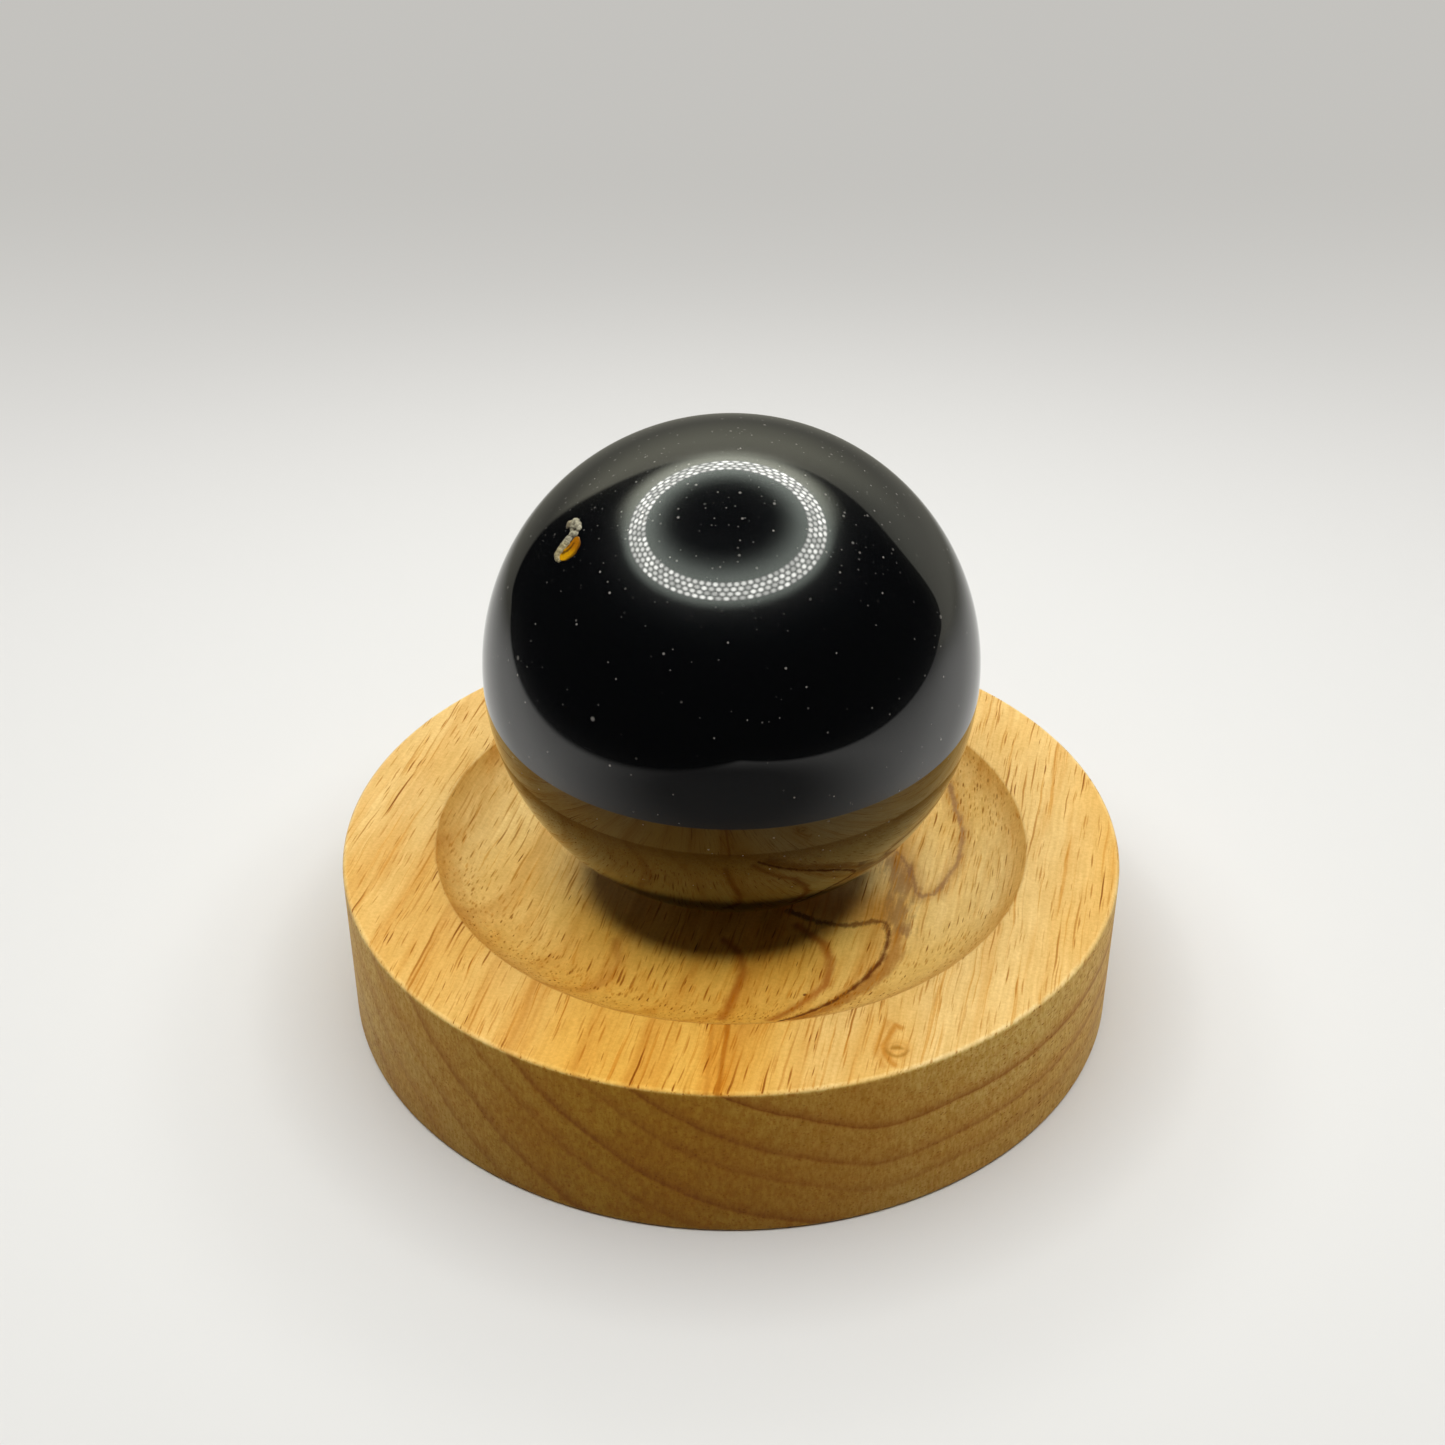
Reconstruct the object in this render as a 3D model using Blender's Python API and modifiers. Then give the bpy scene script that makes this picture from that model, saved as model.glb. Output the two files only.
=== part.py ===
"""Polished black stone ball, resting in the dish of a turned wooden stand.

The stand is one thick disc of hardwood with a shallow dish turned in its top. The ball lies
loose in the dish and lifts straight off. A small natural pocket in the ball holds a clear
amber grain, with white crust round one end and one side of it, all ground flush with the ball.

Units are metres and +Z is up. The origin is the centre of the stand's underside.
"""

import math

import bmesh
import bpy
from mathutils import Euler, Matrix, Vector

# Stand
STAND_DIAMETER = 0.098
STAND_THICKNESS = 0.021
RIM_WIDTH = 0.0115
DISH_DEPTH = 0.0056
DISH_COVE_RADIUS = 0.0154
DISH_FLOOR_RADIUS = 0.390
DISH_LIP_ROUND = 0.0003
RIM_EDGE_ROUND = 0.0005
FOOT_EDGE_ROUND = 0.0006

# Ball
BALL_DIAMETER = 0.060
SEAT_CLEARANCE = 0.0003

# Mineral pocket in the ball: where it lies, which way it runs and how large it is
POCKET_AZIMUTH = math.radians(-151.0)
POCKET_ELEVATION = math.radians(46.4)
POCKET_TURN = math.radians(23.0)
POCKET_LENGTH = 0.0058
POCKET_WIDTH = 0.0040
POCKET_DEPTH = 0.0019
INCLUSION_CLEARANCE = 0.0003

# Amber grain, placed from the middle of the pocket along its length and its width
GRAIN_LENGTH = 0.0034
GRAIN_WIDTH = 0.0034
GRAIN_DEPTH = 0.0012
GRAIN_BACK = 0.0009
GRAIN_ASIDE = 0.0009

# Facets
TURNED_STEPS = 96
BALL_SEGMENTS = 64
POCKET_SEGMENTS = 32

# Places worked out from the sizes above
STAND_RADIUS = STAND_DIAMETER / 2
BALL_RADIUS = BALL_DIAMETER / 2
DISH_RADIUS = STAND_RADIUS - RIM_WIDTH
DISH_BOTTOM = STAND_THICKNESS - DISH_DEPTH
BALL_CENTRE = Vector((0, 0, DISH_BOTTOM + SEAT_CLEARANCE + BALL_RADIUS))


def clear_scene():
    for obj in list(bpy.data.objects):
        bpy.data.objects.remove(obj, do_unlink=True)


def new_collection(name):
    collection = bpy.data.collections.new(name)
    bpy.context.scene.collection.children.link(collection)
    return collection


def new_material(name, colour, roughness):
    material = bpy.data.materials.new(name)
    material.use_nodes = True
    material.diffuse_color = (*colour, 1)
    shader = material.node_tree.nodes["Principled BSDF"]
    shader.inputs["Base Color"].default_value = (*colour, 1)
    shader.inputs["Roughness"].default_value = roughness
    shader.inputs["Metallic"].default_value = 0
    return material


def add_object(name, mesh, collection, material=None):
    obj = bpy.data.objects.new(name, mesh)
    collection.objects.link(obj)
    if material:
        mesh.materials.append(material)
    return obj


def add_helper(name, mesh, collection):
    """A shape that only cuts or limits another one."""
    helper = add_object(name, mesh, collection)
    helper.hide_render = True
    helper.display_type = "WIRE"
    return helper


def cut(obj, helper, operation):
    modifier = obj.modifiers.new(f"{operation.lower()} {helper.name}", "BOOLEAN")
    modifier.operation = operation
    modifier.object = helper


def arc(centre, radius, start, end, steps):
    """Points (r, z) on an arc of a profile, from angle start to angle end, both included."""
    angles = [start + (end - start) * i / steps for i in range(steps + 1)]
    return [(centre[0] + radius * math.cos(a), centre[1] + radius * math.sin(a)) for a in angles]


def angle_to(start, end):
    return math.atan2(end[1] - start[1], end[0] - start[0])


def dish_profile():
    """From the middle of the dish out to the flat rim: shallow floor, steeper cove, rounded lip.

    The cove touches the floor's arc from inside and meets the rim's plane at DISH_RADIUS.
    """
    floor_centre = (0, DISH_BOTTOM + DISH_FLOOR_RADIUS)
    lip = (DISH_RADIUS, STAND_THICKNESS)
    reach = math.dist(floor_centre, lip)
    apart = DISH_FLOOR_RADIUS - DISH_COVE_RADIUS
    along = (reach**2 + apart**2 - DISH_COVE_RADIUS**2) / (2 * reach)
    aside = math.sqrt(apart**2 - along**2)
    to_lip = angle_to(floor_centre, lip)
    to_cove = to_lip - math.atan2(aside, along)
    cove_centre = (
        floor_centre[0] + apart * math.cos(to_cove),
        floor_centre[1] + apart * math.sin(to_cove),
    )

    round_height = STAND_THICKNESS - DISH_LIP_ROUND
    between = DISH_COVE_RADIUS + DISH_LIP_ROUND
    round_reach = math.sqrt(between**2 - (cove_centre[1] - round_height) ** 2)
    round_centre = (cove_centre[0] + round_reach, round_height)
    to_round = angle_to(cove_centre, round_centre)

    straight_down = -math.pi / 2
    floor = arc(floor_centre, DISH_FLOOR_RADIUS, straight_down, to_cove, 5)
    cove = arc(cove_centre, DISH_COVE_RADIUS, to_cove, to_round, 10)
    lip_round = arc(round_centre, DISH_LIP_ROUND, to_round + math.pi, math.pi / 2, 3)
    return floor + cove[1:] + lip_round[1:]


def stand_profile():
    """The dish, then down the stand's straight side and in along its flat underside."""
    rim_edge = (STAND_RADIUS - RIM_EDGE_ROUND, STAND_THICKNESS - RIM_EDGE_ROUND)
    foot_edge = (STAND_RADIUS - FOOT_EDGE_ROUND, FOOT_EDGE_ROUND)
    rim = arc(rim_edge, RIM_EDGE_ROUND, math.pi / 2, 0, 3)
    foot = arc(foot_edge, FOOT_EDGE_ROUND, 0, -math.pi / 2, 3)
    return dish_profile() + rim + foot + [(0, 0)]


def turned_mesh(name, profile):
    """An open line in the XZ plane, for a Screw modifier to turn about Z."""
    shape = bmesh.new()
    points = [shape.verts.new((r, 0, z)) for r, z in profile]
    for first, second in zip(points, points[1:]):
        shape.edges.new((first, second))
    mesh = bpy.data.meshes.new(name)
    shape.to_mesh(mesh)
    shape.free()
    return mesh


def make_stand(collection):
    wood = new_material("pale hardwood", (0.72, 0.42, 0.14), 0.5)
    stand = add_object("wooden_stand", turned_mesh("stand profile", stand_profile()), collection, wood)
    screw = stand.modifiers.new("turned", "SCREW")
    screw.axis = "Z"
    screw.angle = math.tau
    screw.steps = TURNED_STEPS
    screw.render_steps = TURNED_STEPS
    screw.use_merge_vertices = True
    screw.merge_threshold = 0.00001
    screw.use_smooth_shade = True
    return stand


def sphere_mesh(name, segments, radii, middle=(0, 0, 0)):
    """A sphere or, with three unlike radii, an ellipsoid about middle."""
    shape = bmesh.new()
    bmesh.ops.create_uvsphere(shape, u_segments=segments, v_segments=segments // 2, radius=1)
    bmesh.ops.transform(
        shape,
        matrix=Matrix.Translation(middle) @ Matrix.Diagonal((*radii, 1)),
        verts=shape.verts,
    )
    mesh = bpy.data.meshes.new(name)
    shape.to_mesh(mesh)
    shape.free()
    mesh.shade_smooth()
    mesh.set_sharp_from_angle(angle=math.radians(35))
    return mesh


def make_ball(collection, helpers):
    """The ball and the pocket cut in it. Returns the ball and a second whole ball for trimming."""
    stone = new_material("polished black stone", (0.006, 0.006, 0.008), 0.04)
    radii = (BALL_RADIUS,) * 3
    ball = add_object("stone_ball", sphere_mesh("ball", BALL_SEGMENTS, radii), collection, stone)
    ball.location = BALL_CENTRE
    polish = add_helper("polished_surface", sphere_mesh("polish", BALL_SEGMENTS, radii), helpers)
    polish.location = BALL_CENTRE
    return ball, polish


def place_in_pocket(obj):
    """Puts an object's origin on the ball's surface: X across the pocket, Y along it, Z outwards."""
    outwards = Vector(
        (
            math.cos(POCKET_ELEVATION) * math.cos(POCKET_AZIMUTH),
            math.cos(POCKET_ELEVATION) * math.sin(POCKET_AZIMUTH),
            math.sin(POCKET_ELEVATION),
        )
    )
    upright = Euler((0, math.pi / 2 - POCKET_ELEVATION, POCKET_AZIMUTH)).to_matrix()
    turned = upright @ Matrix.Rotation(math.pi / 2 + POCKET_TURN, 3, "Z")
    obj.matrix_world = Matrix.Translation(BALL_CENTRE + BALL_RADIUS * outwards) @ turned.to_4x4()


def make_inclusion(ball, polish, collection, helpers):
    """The pocket, and the grain and the crust that fill it, trimmed flush with the ball."""
    amber = new_material("amber mineral", (0.75, 0.36, 0.02), 0.15)
    white = new_material("white mineral", (0.70, 0.66, 0.55), 0.4)
    pocket_radii = Vector((POCKET_WIDTH / 2, POCKET_LENGTH / 2, POCKET_DEPTH))
    grain_radii = Vector((GRAIN_WIDTH / 2, GRAIN_LENGTH / 2, GRAIN_DEPTH))
    grain_middle = (GRAIN_ASIDE, -GRAIN_BACK, 0)
    gap = Vector((INCLUSION_CLEARANCE,) * 3)
    filling_radii = pocket_radii - gap

    def ellipsoid(name, radii, middle=(0, 0, 0)):
        return sphere_mesh(name, POCKET_SEGMENTS, radii, middle)

    pocket = add_helper("pocket", ellipsoid("pocket", pocket_radii), helpers)
    filling = add_helper("pocket_filling", ellipsoid("filling", filling_radii), helpers)
    room = add_helper("grain_room", ellipsoid("grain room", grain_radii + gap, grain_middle), helpers)
    grain = add_object("amber_grain", ellipsoid("grain", grain_radii, grain_middle), collection, amber)
    crust = add_object("white_crust", ellipsoid("crust", filling_radii), collection, white)
    for obj in (pocket, filling, room, grain, crust):
        place_in_pocket(obj)

    cut(ball, pocket, "DIFFERENCE")
    cut(grain, filling, "INTERSECT")
    cut(grain, polish, "INTERSECT")
    cut(crust, room, "DIFFERENCE")
    cut(crust, polish, "INTERSECT")
    bpy.context.view_layer.update()
    for obj in (grain, crust):
        obj.parent = ball
        obj.matrix_parent_inverse = ball.matrix_world.inverted()


def main():
    clear_scene()
    parts = new_collection("stone ball on stand")
    helpers = new_collection("cutters")
    make_stand(parts)
    ball, polish = make_ball(parts, helpers)
    make_inclusion(ball, polish, parts, helpers)


main()
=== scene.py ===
# %% [markdown]
# # A polished stone ball on its turned wooden stand
#
# The object is a black stone ball that lies loose in the dish of a thick round stand of pale
# hardwood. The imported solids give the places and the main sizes. This lesson dresses them: it
# models each piece again with finer edges, and gives each its own wood, stone or mineral finish.

import functools
import math

import bmesh
import bpy
from mathutils import Euler, Matrix, Vector


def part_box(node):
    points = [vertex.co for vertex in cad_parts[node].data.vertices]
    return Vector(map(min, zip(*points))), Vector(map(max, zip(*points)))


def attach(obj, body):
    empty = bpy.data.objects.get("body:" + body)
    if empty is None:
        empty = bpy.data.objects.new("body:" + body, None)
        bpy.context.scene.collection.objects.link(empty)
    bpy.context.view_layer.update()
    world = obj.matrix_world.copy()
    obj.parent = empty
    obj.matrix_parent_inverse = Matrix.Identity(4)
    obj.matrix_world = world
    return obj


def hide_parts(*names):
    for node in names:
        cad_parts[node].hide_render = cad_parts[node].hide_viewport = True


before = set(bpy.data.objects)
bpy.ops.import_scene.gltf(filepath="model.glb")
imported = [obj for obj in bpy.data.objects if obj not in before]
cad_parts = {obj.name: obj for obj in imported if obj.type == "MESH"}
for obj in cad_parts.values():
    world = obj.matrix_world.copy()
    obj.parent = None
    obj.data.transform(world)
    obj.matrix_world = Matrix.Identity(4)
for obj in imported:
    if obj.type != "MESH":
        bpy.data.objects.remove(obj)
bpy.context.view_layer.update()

MM = 0.001


def in_mm(sizes):
    """Sizes or a place in millimetres, rounded for printing."""
    return [round(size / MM, 1) for size in sizes]


# %% [markdown]
# ## The camera
#
# The ball is seen from the front and well above, from about a quarter of a metre away. A close
# camera makes the near rim of the stand look wider than the far one. A long lens from further off
# would be easier to aim, but it would flatten that. So the place, tilt and lens are kept as
# measured from the outlines of the rim and the dish.

# %% Aim the camera
CAMERA_PLACE = (0.0, -0.2180, 0.1787)
CAMERA_DOWN = math.radians(33.0)
CAMERA_ASIDE = math.radians(0.28)
CAMERA_LENS_MM = 52.5

bpy.ops.object.camera_add(
    location=CAMERA_PLACE, rotation=(math.pi / 2 - CAMERA_DOWN, 0, CAMERA_ASIDE)
)
camera = bpy.context.active_object
camera.name = "front_camera"
camera.data.lens = CAMERA_LENS_MM
bpy.context.scene.camera = camera
bpy.context.scene.view_settings.view_transform = "Standard"
print("camera lens", camera.data.lens, "mm on a", camera.data.sensor_width, "mm sensor")

# %% [markdown]
# ## Shader arithmetic
#
# The finishes below are sums and products of patterns. Wiring Math nodes one by one hides the
# sum, so a small class wraps a socket and lets Python's own operators add the nodes.


# %% The values in a finish
class Value:
    """One output socket. Arithmetic on it adds Math nodes to its finish."""

    def __init__(self, finish, socket):
        self.finish = finish
        self.socket = socket

    def beside(self, output):
        """Another output of the same node."""
        return Value(self.finish, self.socket.node.outputs[output])

    def math(self, operation, *others):
        return self.finish.math(operation, self, *others)

    def vector_math(self, operation, other, output=0):
        return self.finish.node("VectorMath", {0: self, 1: other}, output, operation=operation)

    def __add__(self, other):
        return self.math("ADD", other)

    def __radd__(self, other):
        return self.finish.math("ADD", other, self)

    def __sub__(self, other):
        return self.math("SUBTRACT", other)

    def __rsub__(self, other):
        return self.finish.math("SUBTRACT", other, self)

    def __mul__(self, other):
        return self.math("MULTIPLY", other)

    def __rmul__(self, other):
        return self.finish.math("MULTIPLY", other, self)

    def __truediv__(self, other):
        return self.math("DIVIDE", other)

    def __pow__(self, other):
        return self.math("POWER", other)

    def __abs__(self):
        return self.math("ABSOLUTE")


def between(low, high, share):
    """From low to high as a share goes from 0 to 1."""
    return low + (high - low) * share


def strongest(values):
    """The greatest of several values at each place."""
    return functools.reduce(lambda first, second: first.math("MAXIMUM", second), values)


print("values ready")


# %% A finish
class Finish:
    """A material, or the world, whose nodes are added by name."""

    def __init__(self, owner):
        self.owner = owner
        owner.use_nodes = True
        self.tree = owner.node_tree
        self.tree.nodes.clear()

    def node(self, kind, sockets=None, output=0, **settings):
        """Adds a node, sets it up, fills its sockets and returns one of its outputs."""
        made = self.tree.nodes.new("ShaderNode" + kind)
        for name, setting in settings.items():
            if name == "stops":
                self.set_stops(made.color_ramp.elements, setting)
            else:
                setattr(made, name, setting)
        for name, value in (sockets or {}).items():
            if isinstance(value, Value):
                self.tree.links.new(value.socket, made.inputs[name])
            else:
                made.inputs[name].default_value = value
        return Value(self, made.outputs[output]) if made.outputs else None

    @staticmethod
    def set_stops(elements, stops):
        while len(elements) < len(stops):
            elements.new(1.0)
        for element, (position, colour) in zip(elements, stops):
            element.position = position
            element.color = colour

    def math(self, operation, *operands):
        return self.node("Math", dict(enumerate(operands)), operation=operation)

    def mix(self, factor, first, second, blend="MIX"):
        """A colour between two colours."""
        sockets = {0: factor, 6: first, 7: second}
        return self.node("Mix", sockets, output=2, data_type="RGBA", blend_type=blend)

    def step(self, value, start, full):
        """0 up to start, 1 from full on and a smooth change between. Full may be the lower one."""
        sockets = {"Value": value, "From Min": start, "From Max": full}
        return self.node("MapRange", sockets, interpolation_type="SMOOTHSTEP")

    def noise(self, vector, detail=2.0, roughness=0.5, scale=1.0):
        sockets = {"Vector": vector, "Scale": scale, "Detail": detail, "Roughness": roughness}
        return self.node("TexNoise", sockets)

    def scaled(self, vector, across, along, up=None):
        """A vector with its X and Z scaled by across (or up) and its Y by along."""
        factors = (across, along, across if up is None else up)
        return self.node("Mapping", {"Vector": vector, "Scale": factors})

    def split(self, vector):
        """The X, Y and Z of a vector."""
        parts = self.node("SeparateXYZ", {0: vector}).socket.node
        return [Value(self, socket) for socket in parts.outputs]

    def surface(self, shader):
        target = "OutputWorld" if isinstance(self.owner, bpy.types.World) else "OutputMaterial"
        self.node(target, {"Surface": shader})
        return self.owner


print("finishes ready")

# %% [markdown]
# ## The studio
#
# The floor and the backdrop are one pale sheet that sweeps up behind the object, so that no line
# shows between them. A box of walls would do, but its corners would show in the polished ball.
# The sheet is a plane with its back edge pulled up and the fold between them rounded.

# %% The pale sweep
FLOOR_REACH = 1.6
SWEEP_BACK = 0.44
SWEEP_ROUND = 0.13
SWEEP_HEIGHT = 1.2
SWEEP_SEGMENTS = 24
CLOSE = 0.001

bpy.ops.mesh.primitive_plane_add(size=2 * FLOOR_REACH, location=(0, SWEEP_BACK - FLOOR_REACH, 0))
sweep = bpy.context.active_object
sweep.name = "studio_sweep"
bpy.ops.object.transform_apply()


def select_edges(piece, wanted):
    """In edit mode, selects only the edges whose two ends both pass the test."""
    bpy.ops.mesh.select_mode(type="EDGE")
    bpy.ops.mesh.select_all(action="DESELECT")
    shape = bmesh.from_edit_mesh(piece.data)
    for edge in shape.edges:
        if all(wanted(end.co) for end in edge.verts):
            edge.select_set(True)
    bmesh.update_edit_mesh(piece.data)
    return sum(edge.select for edge in shape.edges)


bpy.ops.object.mode_set(mode="EDIT")
select_edges(sweep, lambda end: end.y > SWEEP_BACK - CLOSE)
bpy.ops.mesh.extrude_region_move(TRANSFORM_OT_translate={"value": (0, 0, SWEEP_HEIGHT)})
select_edges(sweep, lambda end: end.y > SWEEP_BACK - CLOSE and end.z < CLOSE)
bpy.ops.mesh.bevel(offset=SWEEP_ROUND, segments=SWEEP_SEGMENTS, affect="EDGES")
bpy.ops.object.mode_set(mode="OBJECT")
bpy.ops.object.shade_smooth()
print("sweep of", len(sweep.data.polygons), "faces")

# %% [markdown]
# The sheet lies cornerwise, with a corner towards the camera, and hangs up behind. Past its edges
# the ball mirrors only the dark studio. The camera, though, should see pale all round from any
# side, so for the camera the far sheet glows softly. Near the object the sheet is matt white, and
# takes the lamp's light and the object's shadow. In front the camera itself shades the sheet, so
# the ball mirrors it darker there.

# %% How far the sheet reaches
LEFT_EDGE_WAY = (-0.789, -0.615, 0)
LEFT_EDGE = 0.148
RIGHT_EDGE_WAY = (0.565, -0.826, 0)
RIGHT_EDGE = 0.226
EDGE_SOFT = 0.012
PANEL_MIDDLE = 0.23
PANEL_HALF_WIDTH = 0.62
PANEL_HEIGHT = 0.46
PANEL_SQUARENESS = 4
PANEL_SOFT = 0.15

sheet = Finish(bpy.data.materials.new("pale_sheet"))
place = sheet.node("TexCoord", output="Object")
x, y, z = sheet.split(place)


def inside_edge(way, edge):
    """1 on the sheet and 0 past one of its straight edges."""
    reach = place.vector_math("DOT_PRODUCT", way, "Value")
    return sheet.step(reach, edge + EDGE_SOFT, edge - EDGE_SOFT)


panel = ((x - PANEL_MIDDLE) / PANEL_HALF_WIDTH) ** PANEL_SQUARENESS
panel = panel + (z / PANEL_HEIGHT) ** PANEL_SQUARENESS
on_sheet = inside_edge(LEFT_EDGE_WAY, LEFT_EDGE) * inside_edge(RIGHT_EDGE_WAY, RIGHT_EDGE)
on_sheet = on_sheet * sheet.step(panel, 1 + PANEL_SOFT, 1 - PANEL_SOFT)
print("sheet edges at", LEFT_EDGE, "and", RIGHT_EDGE, "m")

# %% What the camera and the mirrors see of the sheet
FLOOR_GLOW = (0.80, 0.79, 0.765, 1)
BACK_GLOW = (0.55, 0.54, 0.515, 1)
BACK_START = 0.05
BACK_FULL = 0.33
FAR_START = 0.55
FAR_FULL = 1.45
MIRRORED_LOW = (0.25, 0.245, 0.205, 1)
MIRRORED_HIGH = (0.86, 0.85, 0.67, 1)
MIRROR_START = 0.08
MIRROR_FULL = 0.32
RIGHT_LOW = (0.46, 0.45, 0.38, 1)
RIGHT_HIGH = (0.50, 0.50, 0.42, 1)
RIGHT_START = 0.10
RIGHT_FULL = 0.48

seen = sheet.node("LightPath", output="Is Camera Ray")
mirrored = seen.beside("Is Glossy Ray")
away = (x * x + y * y) ** 0.5
far_off = strongest((sheet.step(y, BACK_START, BACK_FULL), sheet.step(away, FAR_START, FAR_FULL)))
seen_glow = sheet.mix(far_off, FLOOR_GLOW, BACK_GLOW)
rightwards = sheet.step(x, RIGHT_START, RIGHT_FULL)
low_glow = sheet.mix(rightwards, MIRRORED_LOW, RIGHT_LOW)
high_glow = sheet.mix(rightwards, MIRRORED_HIGH, RIGHT_HIGH)
mirrored_glow = sheet.mix(sheet.step(z, MIRROR_START, MIRROR_FULL), low_glow, high_glow)
glow_colour = sheet.mix(mirrored, seen_glow, mirrored_glow)
print("glow from", MIRROR_START, "to", MIRROR_FULL, "m up in the mirrors")

# %% The sheet's finish
SHEET_WHITE = (0.685, 0.68, 0.655, 1)
UNLIT = (0.010, 0.010, 0.011, 1)
GLOW_START = 0.06
GLOW_FULL = 0.26
BEHIND_START = 0.06
BEHIND_FULL = 0.24
SHADE_PLACE = (0, -0.13, 0)
SHADE_REACH = 0.15
SHADE_CORE = 0.05
SHADE_DEPTH = 0.82

behind = sheet.step(y, BEHIND_START, BEHIND_FULL)
glow = seen * sheet.step(away, GLOW_START, GLOW_FULL) + mirrored * behind
matt = sheet.node("BsdfDiffuse", {"Color": SHEET_WHITE})
shine = sheet.node("Emission", {"Color": glow_colour})
lit = sheet.node("MixShader", {0: glow, 1: matt, 2: shine})
unlit = sheet.node("Emission", {"Color": UNLIT})
from_shade = place.vector_math("DISTANCE", SHADE_PLACE, "Value")
front_shade = 1 - SHADE_DEPTH * sheet.step(from_shade, SHADE_REACH, SHADE_CORE)
past_edge = mirrored * (1 - on_sheet * front_shade)
sheet_shader = sheet.node("MixShader", {0: past_edge, 1: lit, 2: unlit})
sweep.data.materials.append(sheet.surface(sheet_shader))
print("sheet finish of", len(sheet.tree.nodes), "nodes")

# %% [markdown]
# ## The lamp
#
# The light is one large ring lamp overhead, a little behind the ball. The polish shows it as a
# ring of small points, because the real lamp carries staggered rows of light chips on a board.
# Hundreds of small lamps could stand for the chips, but every ray would have to try each of them.
# So a row of broad disks gives the light and stays out of the mirrors, and a board with the chips
# drawn on it is seen by the mirrors alone, about as bright as the disks. The disks stand a little
# further to the right, where they throw the ball's shadow as the real light does. Round its rows
# the board glows faintly and fades to nothing, which rings the highlight with a soft haze, widest
# at the back.

# %% The ring of disks
LAMP_HEIGHT = 0.32
LAMP_ASIDE = -0.0134
LAMP_BACK = 0.038
LAMP_INNER = 0.1830
LAMP_OUTER = 0.2410
LAMP_DISKS = 36
LAMP_POWER = 2.89
DISKS_ASIDE = 0.023

ball_low, ball_high = (Vector(corner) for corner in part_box("stone_ball"))
ball_radius = (ball_high.x - ball_low.x) / 2
ball_centre = Vector((0, 0, ball_high.z - ball_radius))
lamp_centre = ball_centre + Vector((LAMP_ASIDE, LAMP_BACK, LAMP_HEIGHT))
disks_centre = lamp_centre + Vector((DISKS_ASIDE, 0, 0))
disks_radius = (LAMP_INNER + LAMP_OUTER) / 2

disk_light = bpy.data.lights.new("ring_lamp", "AREA")
disk_light.shape = "DISK"
disk_light.size = LAMP_OUTER - LAMP_INNER
disk_light.energy = LAMP_POWER / LAMP_DISKS
for disk in range(LAMP_DISKS):
    turn = math.tau * disk / LAMP_DISKS
    lamp = bpy.data.objects.new(f"ring_lamp_{disk}", disk_light)
    lamp.location = disks_centre + disks_radius * Vector((math.cos(turn), math.sin(turn), 0))
    lamp.visible_camera = False
    lamp.visible_glossy = False
    bpy.context.scene.collection.objects.link(lamp)
print("ring lamp of", LAMP_DISKS, "disks", round(lamp_centre.z / MM), "mm above the floor")

# %% The board of light chips
BOARD_SIDES = 128
HAZE_INSIDE = 0.105
HAZE_FRONT = 0.050
HAZE_BACK = 0.150

bpy.ops.mesh.primitive_circle_add(
    vertices=BOARD_SIDES, radius=LAMP_OUTER + HAZE_BACK, fill_type="NGON", location=lamp_centre
)
board = bpy.context.active_object
board.name = "chip_board"
bpy.ops.object.transform_apply()
bpy.ops.object.mode_set(mode="EDIT")
bpy.ops.mesh.select_all(action="SELECT")
bpy.ops.mesh.inset(thickness=LAMP_OUTER - LAMP_INNER + HAZE_INSIDE + HAZE_BACK)
bpy.ops.mesh.delete(type="FACE")
bpy.ops.object.mode_set(mode="OBJECT")
board.visible_camera = False
board.visible_diffuse = False
board.visible_shadow = False
print("board of", len(board.data.polygons), "faces")

# %% Where the light chips lie
CHIP_ROWS = 4
CHIPS_IN_ROW = 68
CHIP_LONG = 0.85
CHIP_SIZE = 0.56
CHIP_SOFT = 0.10
CHIP_DIM = 0.35
ROW_SHIFT = 0.5
CELL_MIDDLE = 0.5

chips = Finish(bpy.data.materials.new("light_chips"))
place = chips.node("TexCoord", output="Object")
x, y, _ = chips.split(place.vector_math("SUBTRACT", lamp_centre))
row_width = (LAMP_OUTER - LAMP_INNER) / CHIP_ROWS
row = ((x * x + y * y) ** 0.5 - LAMP_INNER) / row_width
row_number = row.math("FLOOR")
round_ring = y.math("ARCTAN2", x) * (CHIPS_IN_ROW / math.tau) + ROW_SHIFT * row_number
across_chip = row.math("FRACT") - CELL_MIDDLE
along_chip = round_ring.math("FRACT") - CELL_MIDDLE
from_chip = ((CHIP_LONG * across_chip) ** 2 + along_chip * along_chip) ** 0.5
chip_cell = chips.node("CombineXYZ", {0: row_number, 1: round_ring.math("FLOOR")})
chip_strength = between(CHIP_DIM, 1, chips.node("TexWhiteNoise", {"Vector": chip_cell}))
on_chip = chip_strength * chips.step(from_chip, CHIP_SIZE, CHIP_SOFT)
print(CHIP_ROWS * CHIPS_IN_ROW, "chips on the board")

# %% The board's glow
CHIP_GLOW = 24.0
CHIP_WHITE = (1.0, 1.0, 0.94, 1)
BOARD_GREY = (0.110, 0.116, 0.108, 1)
HAZE_GREY = (0.092, 0.105, 0.093, 1)
HAZE_BACK_GREY = (0.150, 0.155, 0.125, 1)
HAZE_FADE = 2
BOARD_SOFT = 0.03
OUTER_SOFT = 0.5

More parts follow.
